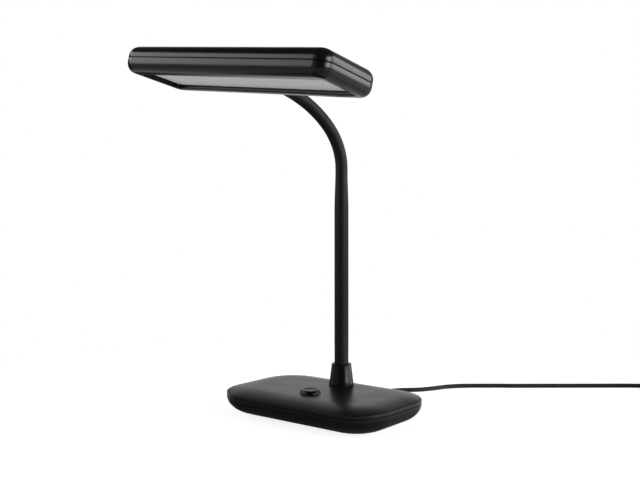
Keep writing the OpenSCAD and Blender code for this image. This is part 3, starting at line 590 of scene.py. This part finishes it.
def make_floor():
    """A pale disc, lit and shadowed near the lamp, white further out, and clear from below.

    Reflections see it white too, except under the base, where a painted shadow lies, and on the stretches of
    painted shade.
    """
    m = Nodes("floor", 0.9)
    tree = m.tree
    colour = m.ramp(m.noise(3), [(0.0, FLOOR_COLOUR - 0.01), (1.0, FLOOR_COLOUR + 0.01)])
    m.shader.inputs["Specular IOR Level"].default_value = 0.1
    path = tree.nodes.new("ShaderNodeLightPath").outputs
    mirrored = math_node(tree, "MAXIMUM", path["Is Glossy Ray"], path["Is Transmission Ray"])
    place = split_vector(tree, m.place)
    # Painted shade: on these stretches reflections see the floor dimmed and without its white
    dark = math_node(tree, "MAXIMUM", *[dark_floor(tree, place, stretch) for stretch in PAINTED_SHADE_FLOORS])
    dark = product(tree, mirrored, dark)
    dimmed = vector_node(tree, "SCALE", colour)
    tree.links.new(math_node(tree, "SUBTRACT", 1, product(tree, dark, PAINTED_SHADE_TINT)), dimmed.inputs["Scale"])
    m.link(dimmed.outputs[0], "Base Color")

    dark = product(tree, dark, PAINTED_SHADE_LEVEL)
    # Painted shadow: reflections see no white under the base
    reflected = product(tree, mirrored, outside_base(tree, m.place))
    seen = math_node(tree, "MAXIMUM", path["Is Camera Ray"], math_node(tree, "SUBTRACT", reflected, dark))
    m.shader.inputs["Emission Color"].default_value = (1, 1, 1, 1)
    m.link(product(tree, seen, FLOOR_GLOW), "Emission Strength")

    white = tree.nodes.new("ShaderNodeEmission")
    white.inputs["Color"].default_value = (1, 1, 1, 1)
    tree.links.new(math_node(tree, "SUBTRACT", 1, dark), white.inputs["Strength"])
    distance = vector_node(tree, "LENGTH", m.place).outputs["Value"]
    edge = smooth_step(tree, distance, FLOOR_R * FLOOR_EDGE[0], FLOOR_R * FLOOR_EDGE[1])
    above = mix_shaders(tree, edge, m.shader.outputs[0], white.outputs[0])
    below = tree.nodes.new("ShaderNodeNewGeometry").outputs["Backfacing"]
    clear = tree.nodes.new("ShaderNodeBsdfTransparent").outputs[0]
    tree.links.new(mix_shaders(tree, below, above, clear), tree.nodes["Material Output"].inputs["Surface"])

    angles = [math.tau * k / FLOOR_SIDES for k in range(FLOOR_SIDES)]
    points = [(FLOOR_R * math.cos(a), FLOOR_R * math.sin(a), 0) for a in angles]
    mesh_piece("floor", points, [tuple(range(FLOOR_SIDES))], m.material, smooth=False)


def panel_mask(tree, direction, azimuth, half_width, low, high, soft):
    """1 on a soft-edged panel in the world, between two heights of the direction's Z."""
    a = math.radians(azimuth)
    sideways = vector_node(tree, "DOT_PRODUCT", direction, (-math.sin(a), math.cos(a), 0)).outputs["Value"]
    forwards = vector_node(tree, "DOT_PRODUCT", direction, (math.cos(a), math.sin(a), 0)).outputs["Value"]
    width = math.sin(math.radians(half_width))
    across = smooth_step(tree, math_node(tree, "ABSOLUTE", sideways), width + soft, width - soft)
    ahead = smooth_step(tree, forwards, 0, PANEL_AHEAD)
    height = split_vector(tree, direction)["Z"]
    return product(tree, across, ahead, soft_band(tree, height, low, high, soft))


def make_world():
    """Lights the lamp from round it, less from overhead, with bright panels and dark cards.

    The camera itself sees white.
    """
    world = bpy.data.worlds.new("studio")
    world.use_nodes = True
    bpy.context.scene.world = world
    tree = world.node_tree
    direction = tree.nodes.new("ShaderNodeTexCoord").outputs["Generated"]
    fade = smooth_step(tree, split_vector(tree, direction)["Z"], *WORLD_FADE)
    level = math_node(tree, "ADD", product(tree, fade, SKY_LEVEL - 1), 1)
    for *panel, strength in PANELS:
        level = math_node(tree, "ADD", level, product(tree, panel_mask(tree, direction, *panel), strength))
    for *card, depth in DARK_CARDS:
        shade = product(tree, panel_mask(tree, direction, *card), depth)
        level = product(tree, level, math_node(tree, "SUBTRACT", 1, shade))
    seen = tree.nodes.new("ShaderNodeLightPath").outputs["Is Camera Ray"]
    unseen = product(tree, level, math_node(tree, "SUBTRACT", 1, seen))
    background = tree.nodes["Background"]
    background.inputs["Color"].default_value = (1, 1, 1, 1)
    tree.links.new(math_node(tree, "ADD", unseen, seen), background.inputs["Strength"])


def make_top_light():
    """A large soft light overhead, which no reflection shows."""
    data = bpy.data.lights.new("softbox_top", "AREA")
    data.shape = "SQUARE"
    data.size = TOP_SIZE
    data.energy = TOP_POWER
    light = bpy.data.objects.new("softbox_top", data)
    light.location = TOP_PLACE
    light.rotation_euler = (-Vector(TOP_PLACE)).to_track_quat("-Z", "Y").to_euler()
    light.visible_camera = False
    light.visible_glossy = False
    bpy.context.scene.collection.objects.link(light)


def make_side_card(name, azimuth, distance, half, low, top, strength):
    """A grey card near the base and before a panel, for reflections only.

    Seen from low on the other side, the base's flat top would mirror the panel and turn white.
    """
    material = bpy.data.materials.new(name)
    material.use_nodes = True
    material.cycles.emission_sampling = "NONE"
    tree = material.node_tree
    glow = tree.nodes.new("ShaderNodeEmission")
    glow.inputs["Strength"].default_value = strength
    tree.links.new(glow.outputs[0], tree.nodes["Material Output"].inputs["Surface"])
    a = math.radians(azimuth)
    out = Vector((math.cos(a), math.sin(a), 0))
    along = Vector((-out.y, out.x, 0)) * half * MM
    foot = out * distance * MM + Vector((0, 0, low * MM))
    rise = Vector((0, 0, (top - low) * MM))
    points = [foot - along, foot + along, foot + along + rise, foot - along + rise]
    card = mesh_piece(name, points, [(0, 1, 2, 3)], material, smooth=False)
    card.visible_camera = False
    card.visible_diffuse = False
    card.visible_shadow = False
    card.visible_transmission = False


def make_studio():
    make_floor()
    for k, card in enumerate(SIDE_CARDS, 1):
        make_side_card("side_card_%d" % k, *card)
    make_world()
    make_top_light()


# ---------- cord ----------

def eased(s):
    """From 0 to 1 like s, but with a soft start and a soft end."""
    return s * s * (3 - 2 * s)


def coil_route(cx, cy):
    """Two flat layers: inwards along the table, up, and outwards over the first."""
    points = []
    low = CORD_D / 2 + TIE_ROOM
    turns = 2 * LAYER_TURNS + CLIMB_TURNS
    count = round(turns * TURN_POINTS)
    for i in range(count + 1):
        turn = turns * i / count
        climb = min(1, max(0, (turn - LAYER_TURNS) / CLIMB_TURNS))
        if turn <= LAYER_TURNS:
            r = COIL_OUT + (COIL_IN - COIL_OUT) * turn / LAYER_TURNS
        elif climb < 1:
            r = COIL_IN
        else:
            part = (turn - LAYER_TURNS - CLIMB_TURNS) / LAYER_TURNS
            r = COIL_IN + (COIL_OUT - COIL_STEP_IN - COIL_IN) * part
        a = math.radians(COIL_START - 360 * turn)
        points.append((cx + r * math.cos(a), cy + r * math.sin(a), low + CORD_D * eased(climb)))
    return points


def make_cord(table):
    """The cord from the strain relief through its coil to the plug, and the tie round the coil."""
    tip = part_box("strain_relief")[1].y / MM
    route = CORD_ROUTE + coil_route(*COIL_CENTRE) + CORD_TAIL
    curve = bpy.data.curves.new("power_cord_line", "CURVE")
    curve.dimensions = "3D"
    curve.bevel_depth = CORD_D / 2 * MM
    curve.bevel_resolution = CORD_ROUNDING
    curve.resolution_u = CORD_ROUNDING
    curve.use_fill_caps = True
    spline = curve.splines.new("BEZIER")
    spline.bezier_points.add(len(route) - 1)
    for point, (x, y, z) in zip(spline.bezier_points, route):
        point.co = (x * MM, (y + tip) * MM, z * MM)
        point.handle_left_type = "AUTO"
        point.handle_right_type = "AUTO"
    curve.materials.append(table["cord_black"])
    cord = bpy.data.objects.new("power_cord_line", curve)
    bpy.context.scene.collection.objects.link(cord)
    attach(cord, "base")
    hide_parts("power_cord", "power_cord_coil", "power_cord_tail")
    ties = make_tie(table["cord_black"])


def make_tie(material):
    """A wire tie: a flat band round the coil's bundle, and its two ends twisted together."""
    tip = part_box("strain_relief")[1].y / MM
    angle = math.radians(TIE_AT)
    out = Vector((math.cos(angle), math.sin(angle), 0))
    along = Vector((-out.y, out.x, 0))
    up = Vector((0, 0, 1))
    middle = Vector((COIL_CENTRE[0], COIL_CENTRE[1] + tip, TIE_ROOM + CORD_D))
    middle += out * (COIL_OUT + COIL_IN) / 2
    half_x = (COIL_OUT - COIL_IN + CORD_D) / 2 + TIE_GAPS[0]
    half_z = CORD_D + TIE_GAPS[1]
    corner = CORD_D / 2
    rings = []
    for quarter_turn, (sx, sz) in enumerate(((1, 1), (-1, 1), (-1, -1), (1, -1))):
        for step in range(TIE_CORNER_POINTS):
            a = math.radians(90 * (quarter_turn + step / (TIE_CORNER_POINTS - 1)))
            side = out * math.cos(a) + up * math.sin(a)
            place = middle + out * sx * (half_x - corner) + up * sz * (half_z - corner) + side * corner
            rings.append([place + along * across + side * rise for across, rise in TIE_SECTION])
    pieces = [loft("cord_tie_band", rings, material, closed=True)]
    for k in range(2):
        points = []
        for i in range(TIE_END_STEPS + 1):
            s = i / TIE_END_STEPS
            a = math.pi * k + math.tau * TIE_TWISTS * s
            reach = half_x + TIE_REACH[0] + TIE_REACH[1] * s
            drop = TIE_DROP * math.sin(s * math.pi / 2)
            points.append(middle + out * reach + along * (TIE_TWIST_R * math.cos(a) + TIE_SWING * s * s)
                          + up * (TIE_TWIST_R * math.sin(a) - drop))
        pieces.append(tube("cord_tie_end_%d" % (k + 1), points, TIE_END_R, material, sides=8))
    for piece in pieces:
        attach(piece, "base")
    return [piece.name for piece in pieces]


# ---------- shells ----------

def below_seam(profile, z):
    """The part of an edge profile that lies lower than its rounded-off rim at z."""
    return [(i, h) for i, h in profile if h < z - EDGE_BREAK]


def broken_edge(z, side):
    """A small rounding between a shell's outline and its seam face at z.

    side is 1 for the shell above the seam and -1 for the one below.
    """
    b = EDGE_BREAK
    return [(x * b, z + side * y * b) for x, y in QUARTER_ROUND] + [(b + EDGE_LAND, z)]


def crown(start, start_z, top_z, steps):
    """Profile that rises from one inset to the flat of the dome and levels off there."""
    reach = DOME_INSET - start
    return [(start + reach * i / steps, top_z - (top_z - start_z) * (1 - i / steps) ** DOME_FULLNESS)
            for i in range(steps + 1)]


def make_base_cover(material):
    """The base's upper shell: a shallow dome with a flat seat for the ferrule and a hole for the switch."""
    edge_z = BASE_SEAM_Z + BASE_EDGE
    foot_z = BASE_SEAM_Z + SEAM_GAP / 2
    under_z = BASE_HEIGHT - BASE_WALL
    radius, turn = DOME_EDGE
    edge = [(radius - x, z) for x, z in arc((0, edge_z), radius, 0, turn, steps=8)]
    dome = crown(*edge[-1], BASE_HEIGHT, steps=24)
    outer = edge + dome[1:]
    inset, start_z = edge[-1]
    part = ((DOME_INSET - BASE_WALL) / (DOME_INSET - inset)) ** DOME_FULLNESS
    inner = crown(BASE_WALL, under_z - (BASE_HEIGHT - start_z) * part, under_z, steps=10)
    profile = inner[::-1] + [(BASE_WALL, foot_z)] + broken_edge(foot_z, 1)[::-1] + outer
    low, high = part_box("base_top_cover")
    size = (high - low) / MM
    cover = loft("base_cover_shell", shell_rings(size.x, size.y, BASE_CORNER, profile), material)
    low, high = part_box("neck_ferrule")
    seat_r = (high.x - low.x) / 2 / MM + SEAT_GAP
    outline = [(seat_r, under_z - SEAT_DEPTH), (seat_r, BASE_HEIGHT - SEAT_EDGE),
               (seat_r - SEAT_EDGE, BASE_HEIGHT)]
    seat = turned("seat", outline, material, upright_at("neck_ferrule"), closed=False)
    combine(cover, seat, "UNION")
    outline = [(BARREL_R, BASE_HEIGHT + z) for z in BORE_CUT]
    bore = turned("bore", outline, material, upright_at("switch_bezel"), closed=False)
    combine(cover, bore, "DIFFERENCE")
    sharpen(cover)
    finish_piece(cover, "base", "base_black", "base_top_cover")


def make_base_lower(material):
    """The base's lower shell: a dish with a tongue inside the seam and a pocket for the pad."""
    top_z = BASE_SEAM_Z - SEAM_GAP / 2
    floor_z = BASE_FOOT_Z + BASE_WALL
    inner = [(i + BASE_WALL, z) for i, z in
             rounded_down(DISH_INSET - BASE_WALL, top_z - floor_z, floor_z, steps=10)]
    root_z = top_z - TONGUE_ROOT
    inside = BASE_WALL + FIT_GAP
    outer = rounded_down(DISH_INSET, top_z - BASE_FOOT_Z, BASE_FOOT_Z, steps=30)
    profile = [p for p in inner if p[1] < root_z]
    outside = inside + TONGUE_THICK
    tongue_z = top_z + TONGUE_RISE
    profile += [(outside, root_z), (outside, tongue_z - TONGUE_EDGE), (outside - TONGUE_EDGE, tongue_z),
                (inside + TONGUE_EDGE, tongue_z), (inside, tongue_z - TONGUE_EDGE), (inside, top_z)]
    profile += broken_edge(top_z, -1)[::-1] + below_seam(outer, top_z)[::-1]
    profile += [(DISH_INSET + FOOT_LAND, BASE_FOOT_Z), (PAD_POCKET[0], BASE_FOOT_Z), PAD_POCKET]
    low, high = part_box("base_lower_shell")
    size = (high - low) / MM
    shell = loft("base_dish_shell", shell_rings(size.x, size.y, BASE_CORNER, profile), material)
    sharpen(shell)
    finish_piece(shell, "base", "base_black", "base_lower_shell")


def head_frame():
    """The head's own frame: X along it, Z through it, its centre at the origin, and its size."""
    mesh = nodes["led_board"].data
    flat = max(mesh.polygons, key=lambda p: p.area).normal.normalized()
    if flat.z < 0:
        flat = -flat
    sides = [p for p in mesh.polygons if abs(p.normal.dot(flat)) < 0.5]
    rear = max(sides, key=lambda p: p.area).normal.normalized()
    if rear.y < 0:
        rear = -rear
    turn = Matrix((rear.cross(flat), rear, flat)).transposed()
    back = turn.transposed()
    points = [back @ v.co for n in ("head_top_shell", "head_bottom_shell") for v in nodes[n].data.vertices]
    low = Vector([min(p[i] for p in points) for i in range(3)])
    high = Vector([max(p[i] for p in points) for i in range(3)])
    place = Matrix.Translation(turn @ ((low + high) / 2)) @ turn.to_4x4()
    return place, (high - low) / MM


def make_head_top(place, size, material):
    """The head's upper shell."""
    round_z = size.z / 2 - HEAD_TOP[1]
    foot_z = SEAM_GAP / 2
    inner = [(i + HEAD_WALL, z) for i, z in
             rounded_up(HEAD_TOP[0] - HEAD_WALL, HEAD_TOP[1] - HEAD_WALL, round_z, steps=8)]
    outer = rounded_up(HEAD_TOP[0], HEAD_TOP[1], round_z, steps=22)
    profile = inner[::-1] + [(HEAD_WALL, foot_z)] + broken_edge(foot_z, 1)[::-1] + outer
    shell = loft("head_cover_shell", shell_rings(size.x, size.y, HEAD_CORNER, profile), material, place=place)
    sharpen(shell)
    finish_piece(shell, "head", "shell_black", "head_top_shell")


def make_head_bottom(place, size, material):
    """The head's lower shell: a tongue inside the seam, and the stepped window round the diffuser."""
    foot_z = -size.z / 2
    top_z = -SEAM_GAP / 2
    low_z = foot_z + HEAD_WALL
    inside = HEAD_WALL + FIT_GAP
    back = place.inverted()
    corners = [back @ v.co / MM for v in nodes["head_diffuser"].data.vertices]
    low = [min(c[i] for c in corners) for i in range(2)]
    high = [max(c[i] for c in corners) for i in range(2)]
    middle = [(a + b) / 2 for a, b in zip(low, high)]
    window = [b - a - 2 * DIFFUSER_OVERLAP for a, b in zip(low, high)]
    ledge_z = foot_z + WINDOW_RECESS

    def frame_ring(extra, z):
        return plan_ring(window[0] + 2 * extra, window[1] + 2 * extra, WINDOW_CORNER + extra, z, middle)

    inner = [(i + HEAD_WALL, z) for i, z in
             rounded_down(HEAD_LOW[0] - HEAD_WALL, HEAD_LOW[1] - HEAD_WALL, low_z, steps=8)]
    outer = rounded_down(HEAD_LOW[0], HEAD_LOW[1], foot_z, steps=24)
    profile = [p for p in inner if p[1] < HEAD_ROOT_Z - FIT_GAP]
    profile += [(inside + TONGUE_THICK, HEAD_ROOT_Z), (inside + TONGUE_THICK, TONGUE_RISE),
                (inside, TONGUE_RISE), (inside, top_z)]
    profile += broken_edge(top_z, -1)[::-1] + [(0, -size.z / 2 + HEAD_LOW[1])] + outer[::-1][1:]
    rings = shell_rings(size.x, size.y, HEAD_CORNER, profile)
    lip, depth = LIP
    soft = LIP_EDGE
    between = ROUND_MIDDLE * soft
    rings += [frame_ring(lip + soft + EDGE_LAND, foot_z), frame_ring(lip + soft, foot_z),
              frame_ring(lip + between, foot_z + between), frame_ring(lip, foot_z + soft),
              frame_ring(lip, foot_z + depth), frame_ring(soft, foot_z + depth),
              frame_ring(between, foot_z + depth + between), frame_ring(0, foot_z + depth + soft),
              frame_ring(0, ledge_z), frame_ring(WINDOW_WALL, ledge_z), frame_ring(WINDOW_WALL, low_z)]
    shell = loft("head_frame_shell", rings, material, closed=True, place=place)
    sharpen(shell)
    finish_piece(shell, "head", "shell_black", "head_bottom_shell")


# ---------- turned pieces ----------

def make_ferrule(material):
    """A cone with a flared foot and a rounded rim, hollow under the stem's flange."""
    low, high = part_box("neck_ferrule")
    foot = (high.x - low.x) / 2 / MM
    bore = STEM_SLEEVE_R + FIT_GAP
    top = FERRULE_HEIGHT
    rim = FERRULE_TOP_R
    chamfer, outer, inner = FERRULE_EDGES
    side = foot - FERRULE_FLARE[0]
    start = FERRULE_FLARE[1]
    cone_r, cone_z = rim - CONE_END[0] - side, top - CONE_END[1] - start
    outline = [(FLANGE[0], 0), (foot - chamfer, 0), (foot, chamfer), (foot, FERRULE_LIP),
               (foot - FLARE_START[0], FERRULE_LIP + FLARE_START[1]),
               (side + FLARE_END[0], start - FLARE_END[1])]
    outline += [(side + cone_r * i / CONE_STEPS, start + cone_z * i / CONE_STEPS)
                for i in range(CONE_STEPS + 1)]
    outline += [(rim - RIM_START[0], top - RIM_START[1])] + arc((rim - outer, top - outer), outer, 0, 90)
    outline += arc((bore + inner, top - inner), inner, 90, 180)
    outline += [(bore, FLANGE[1]), (FLANGE[0], FLANGE[1])]
    place = upright_at("neck_ferrule") @ Matrix.Translation((0, 0, BASE_HEIGHT * MM))
    piece = turned("ferrule_cone", outline, material, place)
    finish_piece(piece, "base", "trim_black", "neck_ferrule")


def make_ring(material):
    """The conical ring round the button, with its barrel in the cover."""
    low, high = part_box("switch_bezel")
    outer = (high.x - low.x) / 2 / MM
    foot = low.z / MM
    top = BASE_HEIGHT + BEZEL_RISE
    rim = BEZEL_BORE_R + BEZEL_LAND
    barrel = BARREL_R - FIT_GAP
    outside, inside = BEZEL_EDGES
    chamfer, edge = BEZEL_FOOT
    outline = [(BEZEL_BORE_R, foot), (barrel, foot), (barrel, BASE_HEIGHT),
               (outer - chamfer, BASE_HEIGHT), (outer, BASE_HEIGHT + chamfer), (outer, BASE_HEIGHT + edge)]
    outline += arc((rim - outside, top - outside), outside, BEZEL_LEAN, 90)
    outline += arc((BEZEL_BORE_R + inside, top - inside), inside, 90, 180, steps=4)
    ring = turned("switch_ring", outline, material, upright_at("switch_bezel"))
    finish_piece(ring, "base", "trim_black", "switch_bezel")


def make_button(material):
    """The button with its shallow dish and the flange that holds it in."""
    low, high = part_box("switch_button")
    flange = (high.x - low.x) / 2 / MM
    foot, top, r = low.z / MM, high.z / MM, BUTTON_R
    outline = [(POLE_R, foot), (flange, foot), (flange, foot + BUTTON_FLANGE), (r, foot + BUTTON_FLANGE)]
    outline += arc((r - BUTTON_EDGE, top - BUTTON_EDGE), BUTTON_EDGE, 0, 90)
    outline += [(r - inset, top - depth) for inset, depth in BUTTON_DISH] + [(POLE_R, top - BUTTON_DEPTH)]
    button = turned("button_cap", outline, material, upright_at("switch_button"), closed=False)
    finish_piece(button, "button", "button_black", "switch_button")


def make_strain_relief(material):
    """A tapered sleeve with ribs round the cord, and its flange inside the wall."""
    low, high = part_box("strain_relief")
    end = high.y / MM
    wall = end - RELIEF_LENGTH
    inside = low.y / MM
    flange = (high.x - low.x) / 2 / MM
    root, tip = RELIEF_R
    chamfer, thick = RELIEF_FLANGE
    outline = [(POLE_R, inside), (flange - chamfer, inside), (flange, inside + chamfer),
               (flange, inside + thick - chamfer), (flange - chamfer, inside + thick), (root, inside + thick),
               (root, wall + RIB_PITCH - RIB_START)]
    for i in range(1, RELIEF_RIBS + 1):
        r = root - (root - tip) * RIB_PITCH * i / RELIEF_LENGTH
        outline += [(r - depth, wall + RIB_PITCH * i + place) for depth, place in RIB]
    outline += [(tip - inset, end - before) for inset, before in RELIEF_TIP] + [(POLE_R, end)]
    middle = (low + high) / 2
    place = Matrix.Translation((middle.x, 0, middle.z)) @ Matrix.Rotation(math.radians(-90), 4, "X")
    piece = turned("relief_sleeve", outline, material, place, closed=False, sides=64)
    finish_piece(piece, "base", "rubber_black", "strain_relief")


# ---------- stem and neck ----------

def make_stem(material):
    """The sleeve over the rigid stem, narrowing towards the gooseneck."""
    top = mid_links()[0].z / MM
    low, high = STEM_TAPER
    outline = [(SLEEVE_BORE_R, STEM_FOOT_Z), (STEM_SLEEVE_R, STEM_FOOT_Z)]
    for i in range(STEM_STEPS + 1):
        s = i / STEM_STEPS
        outline.append((STEM_SLEEVE_R + (NECK_SLEEVE_R - STEM_SLEEVE_R) * eased(s), low + (high - low) * s))
    outline += [(NECK_SLEEVE_R, top), (SLEEVE_BORE_R, top)]
    sleeve = turned("stem_skin", outline, material, upright_at("stem_sleeve"), sides=ROUND_POINTS)
    finish_piece(sleeve, "base", "silicone_black", "stem_sleeve")


def hinge_points():
    """The neck's hinges from the stem to the head."""
    table = {j["name"]: Vector(j["pos_m"]) for j in frame["joints"] if j["name"] in NECK_HINGES}
    return [table[name] for name in NECK_HINGES]


def mid_links():
    """Where the neck's pieces meet: half-way between hinges, and at both ends."""
    hinges = hinge_points()
    half = (hinges[1] - hinges[0]).length / 2
    points = [hinges[0] - Vector((0, 0, half))]
    points += [(a + b) / 2 for a, b in zip(hinges, hinges[1:])]
    place, size = head_frame()
    points.append(place @ Vector((0, size.y / 2 * MM, 0)))
    return points


def make_neck(skin, steel):
    """A curved stretch of sleeve and of core over each hinge, from mid-link to mid-link."""
    hinges = hinge_points()
    mids = mid_links()
    for k, hinge in enumerate(hinges, 1):
        start, end = mids[k - 1], mids[k]
        path = []
        for i in range(BEND_STEPS + 1):
            t = i / BEND_STEPS
            path.append(((1 - t) ** 2 * start + 2 * t * (1 - t) * hinge + t * t * end) / MM)
        suffix = str(k)
        if k == len(hinges):
            path.append(path[-1] + (end - hinge).normalized() * NECK_RUN_IN)
            suffix = "end"
        sleeve = tube("neck_skin_%d" % k, path, NECK_SLEEVE_R, skin, bore=SLEEVE_BORE_R)
        core = tube("neck_wire_%d" % k, path, CORE_R, steel, sides=CORE_SIDES)
        for piece, slot, node in ((sleeve, "silicone_black", "neck_sleeve_" + suffix),
                                  (core, "steel", "neck_core_" + suffix)):
            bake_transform(piece)
            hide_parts(node)


# ---------- the build ----------

make_camera()
materials = make_materials()
make_cord(materials)
make_base_cover(materials["base_black"])
make_base_lower(materials["base_black"])
head_place, head_size = head_frame()
make_head_top(head_place, head_size, materials["shell_black"])
make_head_bottom(head_place, head_size, materials["shell_black"])
make_ferrule(materials["trim_black"])
make_ring(materials["ring_gloss"])
make_button(materials["button_black"])
make_strain_relief(materials["rubber_black"])
make_stem(materials["silicone_black"])
make_neck(materials["silicone_black"], materials["steel"])
make_studio()

bpy.context.scene.view_settings.view_transform = "Standard"
